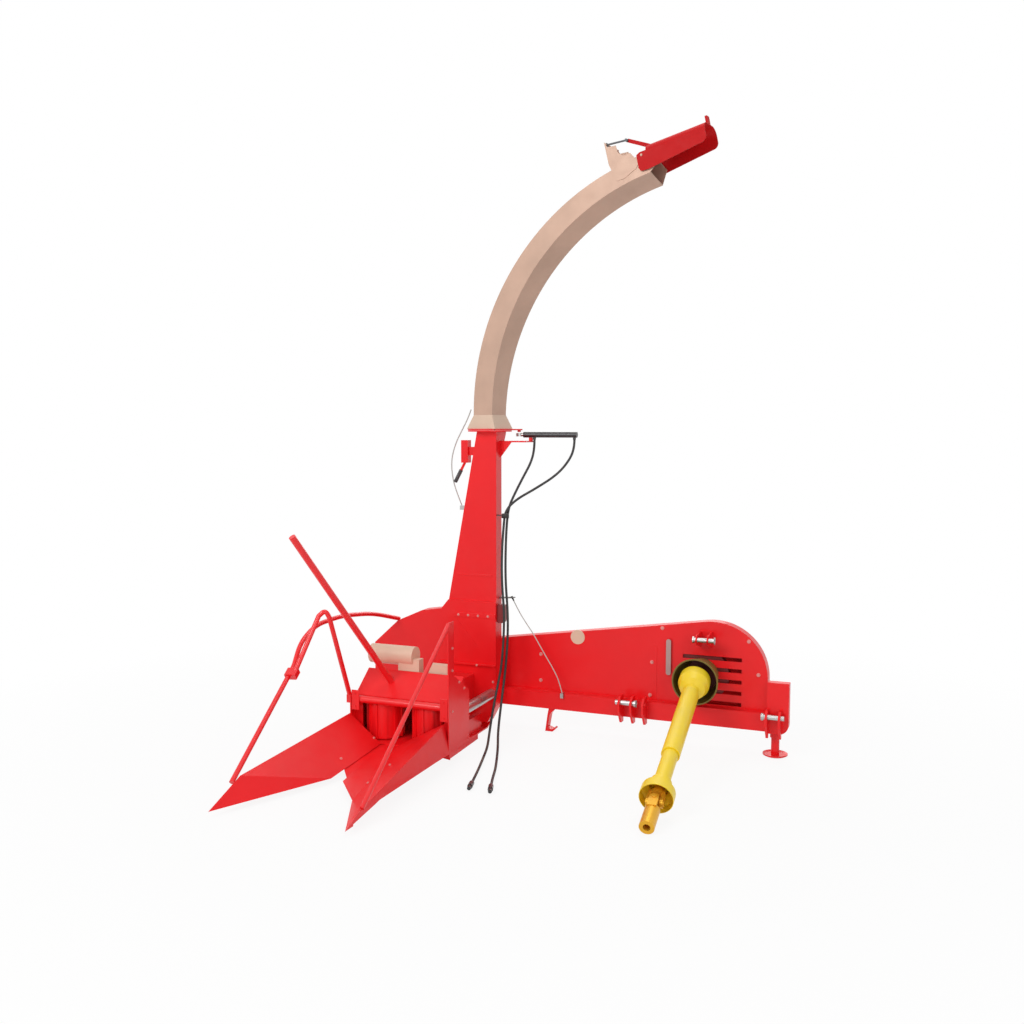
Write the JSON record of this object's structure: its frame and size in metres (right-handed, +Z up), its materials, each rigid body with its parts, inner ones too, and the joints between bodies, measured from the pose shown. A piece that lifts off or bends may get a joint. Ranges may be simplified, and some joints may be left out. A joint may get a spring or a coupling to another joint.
{
  "type": "forage harvester",
  "caption": "Tractor-mounted single-row forage harvester with crop dividers, blower, tall curved chute with tilting deflector, belt cover, three-point hitch and guarded drive shaft.",
  "frame": {"origin": "floor point under the middle of the machine's box", "axes": "+X to the machine's left, where the loose hitch end is, +Y to its rear, +Z up"},
  "size_m": [2.501, 2.029, 3.3964],
  "materials": {
    "red_paint": "glossy powder coat",
    "chute_paint": "satin beige paint",
    "beige_paint": "satin paint",
    "dark_steel": "matt dark",
    "steel": "bright machined",
    "guard_yellow": "matt moulded",
    "ring_olive": "matt moulded",
    "black_hose": "matt",
    "grey_cable": "matt",
    "yoke_gold": "yellow passivated, satin",
    "black_paint": "satin"
  },
  "bodies": {
    "frame": {"main_beam": "red_paint", "end_box": "red_paint", "hook_rest": "red_paint", "hitch_brackets": "red_paint", "top_link_bracket": "red_paint", "belt_cover": "red_paint", "tower": "red_paint", "feed_drive_tube": "red_paint", "tower_bracket": "red_paint", "drum_housing": "red_paint", "feed_walls": "red_paint", "feed_case": "red_paint", "throat_duct": "red_paint", "skids": "red_paint", "top_guard": "red_paint", "front_bar": "red_paint", "pusher_pole": "red_paint", "guide_arch": "red_paint", "guide_left": "red_paint", "guide_right": "red_paint", "divider_left": "red_paint", "divider_right": "red_paint", "hand_lever": "red_paint", "feed_gearbox": "beige_paint", "cover_disc": "beige_paint", "hitch_pins": "steel", "top_link_pin": "steel", "joint_fork": "steel", "coupler_a": "steel", "coupler_b": "steel", "cable_clips": "steel", "storage_bar": "steel", "valve_block": "dark_steel", "ring_guard": "ring_olive", "hose_a": "black_hose", "hose_b": "black_hose", "cable_loop": "grey_cable", "cover_cable": "grey_cable"},
    "stand": {"stand_leg": "red_paint"},
    "rotor": {"rotor": "dark_steel"},
    "input": {"input_shaft": "steel", "input_pulley": "dark_steel"},
    "outer_roll": {"feed_roll_outer": "red_paint"},
    "inner_roll": {"feed_roll_inner": "red_paint"},
    "spout": {"spout": "chute_paint", "turntable": "chute_paint", "spout_bracket": "chute_paint", "deflector_link": "steel"},
    "deflector": {"deflector": "red_paint"},
    "barrel": {"cylinder_barrel": "black_paint"},
    "rod": {"cylinder_rod": "steel"},
    "drive_cross": {"drive_joint": "steel"},
    "drive_near": {"drive_guard_near": "guard_yellow", "drive_shaft_near": "steel"},
    "drive_far": {"drive_guard_far": "guard_yellow"},
    "yoke": {"far_yoke": "yoke_gold"}
  },
  "joints": [
    {"name": "stand_slide", "type": "slide", "parent": "frame", "child": "stand", "axis": [0, 0, 1], "range_m": [0, 0.09]},
    {"name": "rotor_spin", "type": "hinge", "parent": "frame", "child": "rotor", "pos_m": [-0.8395, 0.8825, 0.392], "axis": [0, 1, 0], "continuous": true},
    {"name": "input_spin", "type": "hinge", "parent": "frame", "child": "input", "pos_m": [0.7605, 0.8925, 0.414], "axis": [0, 1, 0], "continuous": true},
    {"name": "outer_roll_spin", "type": "hinge", "parent": "frame", "child": "outer_roll", "pos_m": [-0.846, 0.1845, 0.2], "axis": [0, 0, 1], "continuous": true},
    {"name": "inner_roll_spin", "type": "hinge", "parent": "frame", "child": "inner_roll", "pos_m": [-0.563, 0.1845, 0.2], "axis": [0, 0, 1], "continuous": true},
    {"name": "spout_turn", "type": "hinge", "parent": "frame", "child": "spout", "pos_m": [-0.5075, 0.8675, 1.8], "axis": [0, 0, 1], "range_deg": [0, 100]},
    {"name": "deflector_tilt", "type": "hinge", "parent": "spout", "child": "deflector", "pos_m": [0.48716, 0.69212, 3.228], "axis": [0.1736, 0.9848, 0], "range_deg": [0, 28]},
    {"name": "cylinder_swing", "type": "hinge", "parent": "frame", "child": "barrel", "pos_m": [-0.28669, 0.9696, 1.762], "axis": [0, 0, 1], "range_deg": [-22.5, 0]},
    {"name": "rod_slide", "type": "slide", "parent": "barrel", "child": "rod", "axis": [-1, 0, 0], "range_m": [0, 0.27299]},
    {"name": "drive_swing", "type": "hinge", "parent": "frame", "child": "drive_cross", "pos_m": [0.7605, 0.7425, 0.414], "axis": [0, 0, 1], "range_deg": [-20, 20]},
    {"name": "drive_lift", "type": "hinge", "parent": "drive_cross", "child": "drive_near", "pos_m": [0.7605, 0.7425, 0.414], "axis": [-0.999, -0.0445, 0], "range_deg": [0, 35]},
    {"name": "drive_slide", "type": "slide", "parent": "drive_near", "child": "drive_far", "axis": [0.0424, -0.9519, -0.3035], "range_m": [-0.15, 0]},
    {"name": "yoke_spin", "type": "hinge", "parent": "drive_far", "child": "yoke", "pos_m": [0.80586, -0.27601, 0.08924], "axis": [0.0424, -0.9519, -0.3035], "continuous": true}
  ],
  "couplings": [
    {"joint": "input_spin", "follows": "rotor_spin", "ratio": 0.33333},
    {"joint": "yoke_spin", "follows": "rotor_spin", "ratio": -0.33333},
    {"joint": "inner_roll_spin", "follows": "outer_roll_spin", "ratio": -1},
    {"joint": "rod_slide", "follows": "spout_turn", "m_per_rad": 0.15612}
  ]
}
